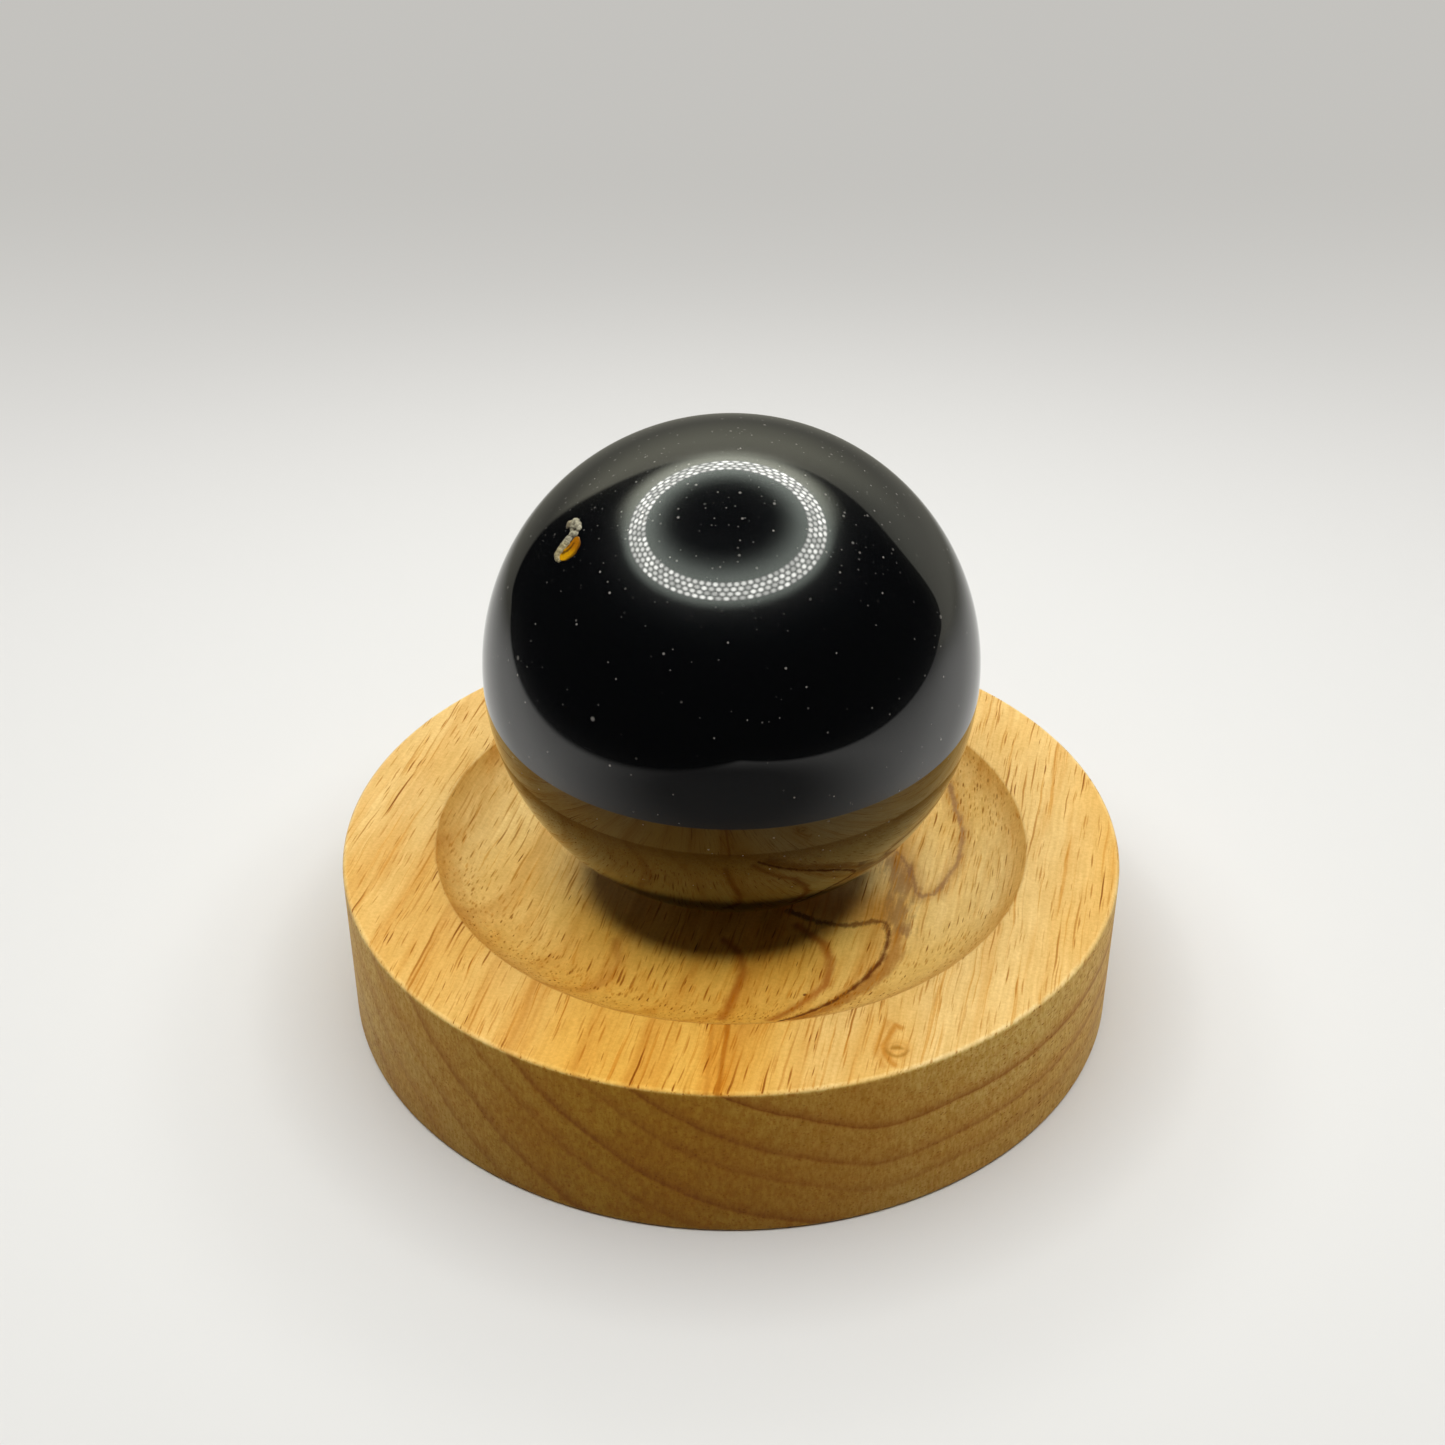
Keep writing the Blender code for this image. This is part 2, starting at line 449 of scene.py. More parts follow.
half_rows = CHIP_ROWS / 2
on_rows = chips.step(abs(row - half_rows), half_rows + BOARD_SOFT, half_rows - BOARD_SOFT)
backwards = chips.step(y, 0, LAMP_OUTER)
haze_reach = between(HAZE_FRONT, HAZE_BACK, backwards)
haze_outside = chips.step((row - CHIP_ROWS) * row_width / haze_reach, 1, 0) ** HAZE_FADE
haze_inside = chips.step(-row_width * row / HAZE_INSIDE, 1, 0) ** HAZE_FADE
outside = chips.step(row, CHIP_ROWS - OUTER_SOFT, CHIP_ROWS)
haze_colour = chips.mix(backwards * outside, HAZE_GREY, HAZE_BACK_GREY)
chip_colour = chips.mix(on_rows, haze_colour, chips.mix(on_chip, BOARD_GREY, CHIP_WHITE))
chip_light = chips.node("Emission", {"Color": chip_colour, "Strength": CHIP_GLOW})
clear = chips.node("BsdfTransparent")
board_shader = chips.node("MixShader", {0: haze_outside * haze_inside, 1: clear, 2: chip_light})
board.data.materials.append(chips.surface(board_shader))
chips.owner.cycles.emission_sampling = "NONE"
print("board finish of", len(chips.tree.nodes), "nodes")

# %% The dim studio
STUDIO_LIGHT = (0.06, 0.06, 0.06, 1)
STUDIO_IN_POLISH = (0.012, 0.012, 0.013, 1)

bpy.context.scene.world = bpy.data.worlds.new("dim_studio")
studio = Finish(bpy.context.scene.world)
seen = studio.node("LightPath", output="Is Camera Ray")
unseen_colour = studio.mix(seen.beside("Is Glossy Ray"), STUDIO_LIGHT, STUDIO_IN_POLISH)
studio_colour = studio.mix(seen, unseen_colour, BACK_GLOW)
studio.surface(studio.node("Background", {"Color": studio_colour}))
print("studio light", STUDIO_LIGHT[0])

# %% [markdown]
# ## The stand
#
# The real stand is turned from one block on a lathe: a straight side, a flat rim and a shallow
# dish whose floor is almost flat and whose edge rises in a steeper cove. A profile could be
# spun round the axis. Here the blank is a cylinder, and the dish is cut as on the lathe, ring
# after ring from the lip inwards: each inset of the top face is one pass of the tool.

# %% The turned blank
TURNED_SIDES = 192
RIM_WIDTH = 0.0115

stand_low, stand_high = (Vector(corner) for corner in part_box("wooden_stand"))
stand_radius = (stand_high.x - stand_low.x) / 2
stand_top = stand_high.z

bpy.ops.mesh.primitive_cylinder_add(
    vertices=TURNED_SIDES, radius=stand_radius, depth=stand_top, location=(0, 0, stand_top / 2)
)
stand = bpy.context.active_object
stand.name = "turned_stand"
bpy.ops.object.transform_apply()

bpy.ops.object.mode_set(mode="EDIT")
bpy.ops.mesh.select_mode(type="FACE")
bpy.ops.mesh.select_all(action="DESELECT")
shape = bmesh.from_edit_mesh(stand.data)
top = max(shape.faces, key=lambda face: face.normal.z)
top.select_set(True)
bmesh.update_edit_mesh(stand.data)
bpy.ops.mesh.inset(thickness=RIM_WIDTH, depth=0)
print("blank", round(2 * stand_radius / MM, 1), "mm across and", round(stand_top / MM, 1), "mm high")

# %% The dish's profile
DISH_DEPTH = 0.0056
COVE_RADIUS = 0.0154
FLOOR_RADIUS = 0.390
COVE_CUTS = 20
FLOOR_CUTS = 14
LAST_CUT_RADIUS = 0.0008


def towards(angle):
    """A step of length 1 in the profile, at an angle from level."""
    return Vector((math.cos(angle), math.sin(angle)))


dish_radius = stand_radius - RIM_WIDTH
dish_bottom = stand_top - DISH_DEPTH
floor_centre = Vector((0, dish_bottom + FLOOR_RADIUS))
lip = Vector((dish_radius, stand_top))
apart = FLOOR_RADIUS - COVE_RADIUS
reach = (lip - floor_centre).length
along = (reach**2 + apart**2 - COVE_RADIUS**2) / (2 * reach)
to_lip = math.atan2(lip.y - floor_centre.y, lip.x)
to_cove = to_lip - math.acos(along / apart)
cove_centre = floor_centre + apart * towards(to_cove)
cove_top = math.atan2(lip.y - cove_centre.y, lip.x - cove_centre.x)
floor_end = cove_centre + COVE_RADIUS * towards(to_cove)

cuts = []
for cut in range(1, COVE_CUTS + 1):
    angle = between(cove_top, to_cove, cut / COVE_CUTS)
    cuts.append(cove_centre + COVE_RADIUS * towards(angle))
for cut in range(1, FLOOR_CUTS + 1):
    radius = between(floor_end.x, LAST_CUT_RADIUS, cut / FLOOR_CUTS)
    cuts.append(Vector((radius, floor_centre.y - math.sqrt(FLOOR_RADIUS**2 - radius**2))))
print(len(cuts), "cuts, the cove ending", round(floor_end.x / MM, 1), "mm from the axis")

# %% Cut the dish
before = lip
for point in cuts:
    bpy.ops.mesh.inset(thickness=before.x - point.x, depth=point.y - before.y)
    before = point
bpy.ops.mesh.poke()
bpy.ops.object.mode_set(mode="OBJECT")
lowest = min(v.co.z for v in stand.data.vertices if v.co.xy.length < CLOSE and v.co.z > CLOSE)
print("dish", round(2 * dish_radius / MM, 1), "mm across, bottom at", round(lowest / MM, 2), "mm")

# %% Round the edges
LIP_ROUND = 0.00025
RIM_ROUND = 0.0005
FOOT_ROUND = 0.0006
ROUND_SEGMENTS = 3
ON_RING = 0.00002
STAND_SHARP = math.radians(35)


def round_edge(radius, height, width):
    """Bevels the ring of edges at one radius and height of the stand."""

    def on_ring(end):
        return abs(end.xy.length - radius) < ON_RING and abs(end.z - height) < ON_RING

    found = select_edges(stand, on_ring)
    bpy.ops.mesh.bevel(offset=width, segments=ROUND_SEGMENTS, affect="EDGES")
    print("rounded a ring of", found, "edges")


bpy.ops.object.mode_set(mode="EDIT")
round_edge(dish_radius, stand_top, LIP_ROUND)
round_edge(stand_radius, stand_top, RIM_ROUND)
round_edge(stand_radius, 0, FOOT_ROUND)
bpy.ops.object.mode_set(mode="OBJECT")
bpy.ops.object.shade_smooth_by_angle(angle=STAND_SHARP)
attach(stand, "stand")
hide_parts("wooden_stand")
print("stand of", len(stand.data.polygons), "faces")

# %% [markdown]
# ## The wood
#
# The grain has to run through the block, so that the rim, the dish and the side agree where they
# meet. A flat picture wrapped on each face can't do that. So the wood is a solid pattern in
# millimetres: year rings are cylinders about a pith line that lies above the stand, and the pores
# are short tubes along the grain. Wherever the lathe cut through, the pattern shows.

# %% The grain's own axes
GRAIN_TURN = math.radians(13.0)
PITH_ASIDE = 38.0
PITH_HEIGHT = 73.0
PER_METRE = 1 / MM
SLOW_SWAY = 2.0
QUICK_SWAY = 1.0
NOISE_MIDDLE = 0.5

wood = Finish(bpy.data.materials.new("pale_hardwood"))
place = wood.node("TexCoord", output="Object")
normal = place.beside("Normal")
turned = {"Vector": place, "Rotation": (0, 0, GRAIN_TURN), "Scale": (PER_METRE,) * 3}
straight = wood.node("Mapping", turned)
slow = wood.noise(wood.scaled(straight, across=0.045, along=0.012)) - NOISE_MIDDLE
quick = wood.noise(wood.scaled(straight, across=0.16, along=0.10)) - NOISE_MIDDLE
sway = wood.node("CombineXYZ", {0: SLOW_SWAY * slow + QUICK_SWAY * quick})
grain = straight.vector_math("ADD", sway)
grain_across, grain_along, grain_height = wood.split(grain)


def grain_noise(across, along, detail=2.0, roughness=0.5):
    """A noise with its own scale across the grain and along it, per millimetre."""
    return wood.noise(wood.scaled(grain, across, along), detail, roughness)


print("pith", PITH_ASIDE, "mm aside and", PITH_HEIGHT, "mm up")

# %% [markdown]
# Each year's growth darkens slowly outwards and then starts pale again, so a ring is a ramp with one
# sharp side. The rings differ in width and strength, and a ramp with its stops placed one by one keeps
# them where they are on the real block.

# %% Year rings
RINGS = (
    (59.4, 1.00), (64.9, 0.92), (68.8, 0.76), (74.5, 0.95), (78.6, 0.74), (85.3, 0.88),
    (90.6, 0.75), (96.2, 0.72), (101.5, 0.75), (107.0, 0.72),
)
RING_FIRST = 50.0
RING_LAST = 116.0
RING_RISE = 2.6
RING_CREST = 0.1
RING_FALL = 0.35
RING_BULGE = 1.3
RING_WAVER = 0.5
BULGE_PLACE = 27.0
BULGE_WIDTH = 9.0
LINE_SHARPNESS = 3

stops = []
for radius, strength in RINGS:
    for offset, share in ((-RING_RISE, 0.0), (-RING_CREST, strength), (RING_FALL, 0.0)):
        position = (radius + offset - RING_FIRST) / (RING_LAST - RING_FIRST)
        stops.append((position, (share, share, share, 1)))
from_pith = ((grain_across - PITH_ASIDE) ** 2 + (grain_height - PITH_HEIGHT) ** 2) ** 0.5
bulge = RING_BULGE * wood.step(abs(grain_across - BULGE_PLACE), BULGE_WIDTH, 0)
waver = RING_WAVER * (grain_noise(across=0.5, along=0.08) - NOISE_MIDDLE)
ring_place = (from_pith - bulge + waver - RING_FIRST) / (RING_LAST - RING_FIRST)
ring_ramp = wood.node("ValToRGB", {"Fac": ring_place}, stops=stops)
ring = wood.node("RGBToBW", {0: ring_ramp})
ring_line = ring**LINE_SHARPNESS
print(len(RINGS), "rings")

# %% [markdown]
# The pores of this wood are open tubes, cut along on the rim, where they are dark dashes, and cut
# across on the front of the side, where they are dots. Stretched cells give both from one
# pattern. Two sizes of cell, with a chance for each cell to be strong or weak, keep them from
# looking printed.

# %% Pores along the grain
PORE_NARROW = 0.45
PORE_WIDE = 1.05
PORE_CORE = 0.40
PORE_FAINT = 0.58


def pores(cell_across, cell_along, size):
    """Dark tubes along the grain, one at most in a cell, each with its own width and depth."""
    stretched = wood.scaled(grain, 1 / cell_across, 1 / cell_along)
    cells = wood.node("TexVoronoi", {"Vector": stretched, "Scale": 1.0})
    width, depth, _ = wood.split(cells.beside("Color"))
    tube = wood.step(cells / (size * between(PORE_NARROW, PORE_WIDE, width)), 1.0, PORE_CORE)
    return tube * between(PORE_FAINT, 1.0, depth)


crowding = wood.step(grain_noise(across=0.16, along=0.05), start=0.36, full=0.62)
long_pores = pores(cell_across=0.54, cell_along=22.0, size=0.40) * between(0.75, 1.0, crowding)
short_pores = pores(cell_across=0.43, cell_along=6.0, size=0.40) * between(1.0, 0.60, crowding)
pore = strongest((long_pores, short_pores))
print("two sizes of pores")

# %% Streaks and tone
fibre = grain_noise(across=2.2, along=0.07, detail=3, roughness=0.6)
streak = wood.step(grain_noise(across=0.75, along=0.035, detail=3), start=0.50, full=0.70)
hair = wood.step(grain_noise(across=2.6, along=0.05), start=0.59, full=0.72)
tone = grain_noise(across=0.07, along=0.02)
mottle = grain_noise(across=0.50, along=0.22, detail=3, roughness=0.6)
tall = wood.scaled(straight, across=2.2, along=2.2, up=0.9)
speckle = wood.step(wood.noise(tall, detail=3, roughness=0.7), start=0.32, full=0.68)
print("wood so far has", len(wood.tree.nodes), "nodes")

# %% [markdown]
# In the dish the block has a natural brown stain: a thin dark line that follows the first ring, turns
# back under the ball and leaves a greyish patch beside it. Nothing regular gives such a line, so it is
# drawn as a few points seen from above, and the distance to it sets the colour. The edge is frayed
# along the grain, as a stain creeps along the fibres.

# %% Top, side and end grain
GRAIN_WAY = (math.sin(GRAIN_TURN), math.cos(GRAIN_TURN), 0)
TOP_START = 0.2
TOP_FULL = 0.8
LIP_SOFT = 0.0002
WALL_START = 0.0340

on_top = wood.step(wood.split(normal)[2], TOP_START, TOP_FULL)
side = 1 - on_top
place_x, place_y, place_z = wood.split(place)
from_axis = (place_x * place_x + place_y * place_y) ** 0.5
in_dish = wood.step(from_axis, dish_radius, dish_radius - LIP_SOFT)
wall = in_dish * wood.step(from_axis, WALL_START, dish_radius)
end_share = normal.vector_math("DOT_PRODUCT", GRAIN_WAY, "Value") ** 2
print("grain runs", round(math.degrees(GRAIN_TURN)), "degrees off the front")

# %% Distance to a drawn line
flat = wood.node("Mapping", {"Vector": place, "Scale": (PER_METRE, PER_METRE, 0)})


def to_line(points, flat=flat):
    """Distance in millimetres from a flattened place to a line through the points."""
    nearest = None
    for first, second in zip(points, points[1:]):
        start = Vector((*first, 0))
        run = Vector((*second, 0)) - start
        offset = flat.vector_math("SUBTRACT", start)
        share = offset.vector_math("DOT_PRODUCT", run / run.length_squared, "Value")
        share = flat.finish.node("Clamp", {0: share})
        on_line = flat.finish.node("VectorMath", {0: run, "Scale": share}, operation="SCALE")
        gap = offset.vector_math("DISTANCE", on_line, "Value")
        nearest = gap if nearest is None else gap.math("MINIMUM", nearest)
    return nearest


fray = grain_noise(across=1.7, along=0.20, detail=3) - NOISE_MIDDLE
ragged = grain_noise(across=0.9, along=0.5, detail=4, roughness=0.65) - NOISE_MIDDLE


def torn(distance, width, core, ragged_by=0.0, frayed_by=0.0):
    """1 within core millimetres of a line and 0 past width, its edge torn as much as asked."""
    if ragged_by:
        distance = distance + ragged_by * ragged
    if frayed_by:
        distance = distance + frayed_by * fray
    return wood.step(distance, width, core)


print("drawn lines are in mm, seen from above")

# %% Where the stain runs
RING_STAIN = (
    (5.8, -34.6), (9.4, -31.6), (12.5, -28.5), (15.7, -24.6), (18.2, -20.5), (19.1, -17.4),
    (19.5, -14.6),
)
TURN_BACK = (
    (19.5, -14.6), (19.4, -13.5), (18.8, -12.8), (17.6, -12.5), (16.1, -12.9), (14.3, -13.3),
    (10.9, -12.4), (7.5, -10.1),
)
STAIN_SHADE = ((8.0, -34.0), (11.5, -30.8), (14.8, -27.4), (17.6, -23.6), (19.8, -19.5), (20.6, -14.5))
AMBER_SHADE = ((9.5, -7.5), (14.5, -9.5), (18.0, -10.0))
GREY_PATCH = ((20.9, -0.5), (21.7, -4.2), (21.8, -7.4), (20.9, -10.3), (20.4, -12.5), (21.1, -14.6))
TONGUE = (
    (21.6, 1.8), (22.5, -0.6), (23.2, -3.7), (23.3, -6.7), (24.0, -7.7), (25.4, -7.5),
    (26.6, -5.9), (27.9, -3.3), (29.0, -1.2), (29.8, 1.7), (30.3, 4.5), (30.1, 7.5),
    (29.6, 11.0), (29.3, 17.0),
)
print("stain in", len(RING_STAIN + TURN_BACK + TONGUE + GREY_PATCH), "points")

# %% The stain in the dish
TURN_BACK_STRENGTH = 0.8

ring_stain = torn(to_line(RING_STAIN), width=0.60, core=0.05, ragged_by=0.9, frayed_by=0.4)
turn_back = torn(to_line(TURN_BACK), width=0.75, core=0.10, ragged_by=1.8, frayed_by=1.2)
stain_line = strongest((ring_stain, TURN_BACK_STRENGTH * turn_back))
stain_shade = torn(to_line(STAIN_SHADE), width=2.0, core=0.2, ragged_by=1.5, frayed_by=2.5)
amber_shade = torn(to_line(AMBER_SHADE), width=5.5, core=1.0, frayed_by=3.0)
to_tongue = to_line(TONGUE)
tongue_line = torn(to_tongue, width=0.62, core=0.05, ragged_by=1.2, frayed_by=0.6)
tongue_shade = torn(to_tongue, width=2.2, core=0.2, ragged_by=0.7, frayed_by=2.6)
grey_patch = torn(to_line(GREY_PATCH), width=2.3, core=0.3, ragged_by=3.0, frayed_by=5.0)
print("wood with its stain has", len(wood.tree.nodes), "nodes")

# %% Soft rings in the dish
DISH_RINGS = (
    ((8.2, -13.0), (11.4, -17.0), (12.1, -20.2), (11.3, -25.1), (8.1, -29.3), (4.6, -33.7)),
    ((-0.7, -16.0), (1.2, -19.0), (1.5, -22.5), (0.3, -27.5), (-1.0, -33.0)),
    ((-14.2, -16.5), (-13.4, -20.5), (-14.6, -24.5), (-17.2, -28.0)),
)
DISH_RING_STRENGTH = (1.0, 0.9, 0.4)

dish_ring = strongest(
    strength * torn(to_line(points), width=1.1, core=0.0, frayed_by=1.0)
    for points, strength in zip(DISH_RINGS, DISH_RING_STRENGTH)
)
print(len(DISH_RINGS), "soft rings")

# %% The knot in the rim
KNOT_PLACE = (18.5, -41.6, 0)
KNOT_RADIUS = 1.25
KNOT_WAVER = 0.5
KNOT_EDGE = 0.9
KNOT_SWIRL = (
    (19.1, -38.1), (18.6, -37.6), (18.1, -38.7), (17.5, -39.9), (17.0, -41.1), (17.1, -42.3),
    (17.5, -43.4), (18.0, -44.2),
)
KNOT_OUTER = ((17.8, -37.1), (17.1, -38.5), (16.5, -40.1), (16.2, -41.3), (16.4, -42.9), (16.8, -44.3))

to_knot = flat.vector_math("DISTANCE", KNOT_PLACE, "Value") / KNOT_RADIUS + KNOT_WAVER * ragged
knot_near = wood.step(to_knot, start=1.8, full=1.0)
knot_y = wood.split(flat)[1] - KNOT_PLACE[1]
knot_edge = wood.step(abs(to_knot - KNOT_EDGE), start=0.36, full=0.0)
knot_edge = knot_edge * between(0.25, 1.0, wood.step(knot_y, start=0.5, full=-0.7))
knot_eye = wood.step(to_knot, start=0.85, full=0.25) * wood.step(knot_y, start=-0.30, full=0.20)
knot = strongest((0.75 * knot_edge, knot_eye))
inner_swirl = torn(to_line(KNOT_SWIRL), width=0.75, core=0.0, ragged_by=0.5)
outer_swirl = torn(to_line(KNOT_OUTER), width=0.9, core=0.0, ragged_by=0.8)
knot_swirl = strongest((0.90 * inner_swirl, 0.50 * outer_swirl))
print("knot at", KNOT_PLACE[:2])

# %% Streaks and marks on the rim and in the dish
RIM_STREAKS = (((-2.0, -37.6), (-2.7, -49.2)), ((-0.2, -37.4), (-1.4, -49.2)))
STREAK_STRENGTH = (0.45, 1.0)
STREAK_SHADE = ((-1.1, -37.5), (-2.0, -49.2))
PALE_PATCH = ((7.8, -43.4), (10.8, -44.2))
PIN_HOLE = (8.8, -27.1, 0)

rim_streak = strongest(
    strength * torn(to_line(points), width=0.50, core=0.05, frayed_by=0.6)
    for points, strength in zip(RIM_STREAKS, STREAK_STRENGTH)
)
streak_shade = torn(to_line(STREAK_SHADE), width=2.6, core=0.5, frayed_by=1.5)
pale_patch = torn(to_line(PALE_PATCH), width=2.6, core=0.8, ragged_by=2.5)
pin_hole = torn(flat.vector_math("DISTANCE", PIN_HOLE, "Value"), width=0.34, core=0.18)
print(len(RIM_STREAKS), "streaks, a pale patch and a pin hole")

# %% [markdown]
# The colours are mixed from the ground up: pale wood and its gold parts, streaks, rings, stain and
# pores. The front of the block is deeper in colour. The straight side drinks more oil where the fibres
# end in it, so it is darker there than where they run along it, and the whole side is darkened further
# by painted shade. On top, painted light makes the dish paler, painted shade darkens the cove wall and
# warms the wood under and in front of the ball, and a painted highlight runs along the rim's edge. The
# left side carries a painted reflection of the pale sheet.

# %% The wood's colours
WOOD_PALE = (0.80, 0.550, 0.206, 1)
WOOD_GOLD = (0.75, 0.460, 0.129, 1)
WOOD_STREAK = (0.64, 0.302, 0.046, 1)
WOOD_LATE = (0.46, 0.185, 0.025, 1)
DISH_LATE = (0.38, 0.100, 0.004, 1)
KNOT_BROWN = (0.36, 0.160, 0.012, 1)
KNOT_ORANGE = (0.56, 0.240, 0.030, 1)


def painted(colour, layers):
    """A colour with layers of (share, mark, paint) over it, the last on top."""
    for share, mark, paint in layers:
        colour = colour.finish.mix(share * mark, colour, paint)
    return colour


wood_layers = (
    (0.34, streak, WOOD_STREAK),
    (0.70, hair, WOOD_STREAK),
    (0.35, ring, WOOD_STREAK),
    (between(0.35, 0.95, side), ring_line, WOOD_LATE),
    (0.75, dish_ring, DISH_LATE),
    (0.50, pale_patch * on_top, WOOD_PALE),
    (0.55, streak_shade * on_top, WOOD_STREAK),
    (0.92, rim_streak * on_top, WOOD_LATE),
    (0.40, knot_near * on_top, WOOD_STREAK),
    (1.00, knot_swirl * on_top, KNOT_ORANGE),
    (0.90, knot * on_top, KNOT_BROWN),
)
ground = wood.mix(wood.step(tone, start=0.38, full=0.66), WOOD_PALE, WOOD_GOLD)
colour = painted(ground, wood_layers)
print(len(wood_layers), "layers of wood colour")

# %% The stain's colours
STAIN_DARK = (0.12, 0.022, 0.002, 1)
STAIN_BROWN = (0.36, 0.138, 0.020, 1)
STAIN_GREY = (0.29, 0.148, 0.060, 1)
TONGUE_DARK = (0.28, 0.130, 0.055, 1)
AMBER_BROWN = (0.52, 0.210, 0.025, 1)

stain_layers = (
    (0.60, amber_shade, AMBER_BROWN),
    (0.75, stain_shade, STAIN_BROWN),
    (0.70, grey_patch, STAIN_GREY),
    (0.42, tongue_shade, STAIN_BROWN),
    (0.70, tongue_line, TONGUE_DARK),
    (0.92, stain_line, STAIN_DARK),
    (0.85, pin_hole, STAIN_DARK),
)
colour = painted(colour, stain_layers)
print(len(stain_layers), "layers of stain")

# %% Pores, fibres and mottling
WOOD_PORE = (0.48, 0.180, 0.010, 1)
PORE_DEEP = (0.23, 0.064, 0.003, 1)
FIBRE_DARK = (0.95, 0.91, 0.84, 1)
FIBRE_PALE = (1.03, 1.04, 1.07, 1)
MOTTLE_DARK = (0.965, 0.945, 0.91, 1)
MOTTLE_PALE = (1.03, 1.035, 1.05, 1)
TOP_SPECKLE = (0.95, 0.92, 0.86, 1)
TOP_PALE = (1.04, 1.05, 1.08, 1)
SIDE_SPECKLE = (0.87, 0.77, 0.45, 1)
SIDE_PALE = (1.09, 1.12, 1.22, 1)


def tinted(colour, tints):
    """A colour multiplied by each tint of (share, tint) in turn, as far as its share goes."""
    for share, tint in tints:
        colour = colour.finish.mix(share, colour, colour.finish.mix(1.0, colour, tint, "MULTIPLY"))
    return colour


fibre_tint = wood.mix(wood.step(fibre, start=0.30, full=0.70), FIBRE_DARK, FIBRE_PALE)
mottle_tint = wood.mix(wood.step(mottle, start=0.34, full=0.66), MOTTLE_DARK, MOTTLE_PALE)
colour = tinted(colour, ((1.0, fibre_tint), (1.0, mottle_tint)))
pore_colour = wood.mix(wood.step(pore, start=0.55, full=0.95), WOOD_PORE, PORE_DEEP)
pore_share = pore * (1 - 0.70 * side * end_share) * (1 - 0.80 * knot_near) * (1 - 0.50 * wall)
colour = wood.mix(pore_share, colour, pore_colour)
top_tint = wood.mix(speckle, TOP_SPECKLE, TOP_PALE)
speckled_side = wood.mix(speckle, SIDE_SPECKLE, SIDE_PALE)
colour = tinted(colour, ((on_top, top_tint), (side, speckled_side)))
print("pores and fibres coloured")

# %% Deeper colour at the front, and painted light and shade on the side, in the dish, on the rim's edge and under the ball
FRONT_TINT = (0.96, 0.79, 0.40, 1)
LONG_GRAIN_AND_SHADE_TINT = (0.90, 0.90, 0.72, 1)
LEFT_SIDE_SHEEN_TINT = (1.05, 1.09, 1.20, 1)
END_GRAIN_AND_SHADE_TINT = (0.42, 0.305, 0.055, 1)
DISH_LIGHT_TINT = (1.16, 1.22, 1.26, 1)
DISH_FRONT_LIGHT_TINT = (1.06, 1.01, 0.76, 1)
DISH_SOFT = 0.004
WALL_SHADE_TINT = (0.94, 0.79, 0.52, 1)
PENUMBRA_TINT = (1.0, 0.95, 0.66, 1)
PENUMBRA_RADIUS = 0.0290
SEAT_SHADOW_TINT = (0.97, 0.82, 0.62, 1)
SEAT_RADIUS = 0.0200
SEAT_MIDDLE = 0.0040
EDGE_HIGHLIGHT_TINT = (1.10, 1.22, 1.50, 1)
EDGE_WIDTH = 0.0007
EDGE_CORE = 0.00028

front = wood.step(grain_along, start=0.0, full=-40.0) * wood.step(grain_across, start=26.0, full=10.0)
front = on_top * front * between(1.0, 0.5, wood.step(grain_across, start=-4.0, full=-20.0))
# Painted light: the whole dish is made paler, lifting the shade the ball casts in it, and towards the
# front it is made warmer instead.
dish = on_top * wood.step(from_axis, dish_radius, dish_radius - DISH_SOFT)
dish_light_tint = wood.mix(wood.step(place_y, start=-0.008, full=-0.024), DISH_LIGHT_TINT, DISH_FRONT_LIGHT_TINT)
# Painted shade: a band in front of the ball is made more yellow, for the warm edge of its shadow.
penumbra = on_top * wood.step(from_axis, PENUMBRA_RADIUS, SEAT_RADIUS)
penumbra = penumbra * wood.step(place_y, start=-0.002, full=-0.014)
# Painted shadow: the wood right under the ball is made warmer and a little darker.
seat_shadow = on_top * wood.step(from_axis, SEAT_RADIUS, SEAT_MIDDLE)
# Partly real and partly painted shade: the side is darkened, most where the grain ends in it.
side_grain_and_shade_tint = wood.mix(end_share, LONG_GRAIN_AND_SHADE_TINT, END_GRAIN_AND_SHADE_TINT)
# Painted reflection: the left side is made paler and bluer, as if it mirrored the pale sheet.
left_side_sheen = side * wood.step(place_x, start=-0.010, full=-0.036)
# Painted highlight: the rounded top edge of the rim is made paler and bluer.
edge = wood.step(from_axis, stand_radius - EDGE_WIDTH, stand_radius - EDGE_CORE)
edge = edge * wood.step(place_z, stand_top - EDGE_WIDTH, stand_top - EDGE_CORE)
# Painted shade: the cove wall is made a little darker and deeper in colour.
place_tints = (
    (front, FRONT_TINT),
    (dish, dish_light_tint),
    (wall, WALL_SHADE_TINT),
    (penumbra, PENUMBRA_TINT),
    (seat_shadow, SEAT_SHADOW_TINT),
    (side, side_grain_and_shade_tint),
    (left_side_sheen, LEFT_SIDE_SHEEN_TINT),
    (edge, EDGE_HIGHLIGHT_TINT),
)
colour = tinted(colour, place_tints)
print(len(place_tints), "tints by place")

# %% The wood's sheen
WOOD_GLOSS = 0.12
WOOD_ROUGHNESS = 0.44
FIBRE_ROUGHNESS = 0.14
PORE_ROUGHNESS = 0.18
EDGE_SMOOTHNESS = 0.16
FIBRE_RELIEF = 0.5
RELIEF_STRENGTH = 0.5
RELIEF_DEPTH = 0.00003

